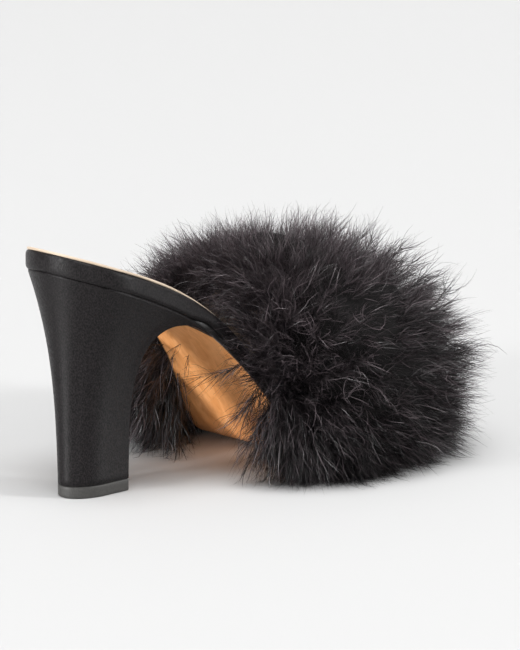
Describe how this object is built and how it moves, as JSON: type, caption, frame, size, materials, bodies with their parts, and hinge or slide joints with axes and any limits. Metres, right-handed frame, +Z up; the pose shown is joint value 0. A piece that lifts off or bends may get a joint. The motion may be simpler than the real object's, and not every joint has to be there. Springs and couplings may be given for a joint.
{
  "type": "marabou slipper",
  "caption": "High-heeled open-toe slipper for the right foot: satin-covered block heel, tan leather sole and one wide band under a deep trim of down plumes.",
  "frame": {"origin": "middle of the ground face of the heel's rubber tip, on the floor that the shoe stands on", "axes": "+X towards the toe, +Y towards the wearer's inner (big toe) side, +Z up"},
  "size_m": [0.2051, 0.1611, 0.1018],
  "materials": {
    "tan_leather": "smooth tan sole leather with a low gloss and a black painted edge",
    "satin": "black satin with a soft sheen along its weave",
    "sock_leather": "pale cream lining leather, matt",
    "tip_rubber": "dark grey hard rubber, matt",
    "down": "black marabou down, soft and deep"
  },
  "bodies": {
    "root": {"outsole": "tan_leather", "insole_board": "satin", "sock_lining": "sock_leather", "heel_block": "satin", "heel_tip": "tip_rubber", "upper_band": "satin", "marabou_trim": "down"}
  },
  "joints": []
}
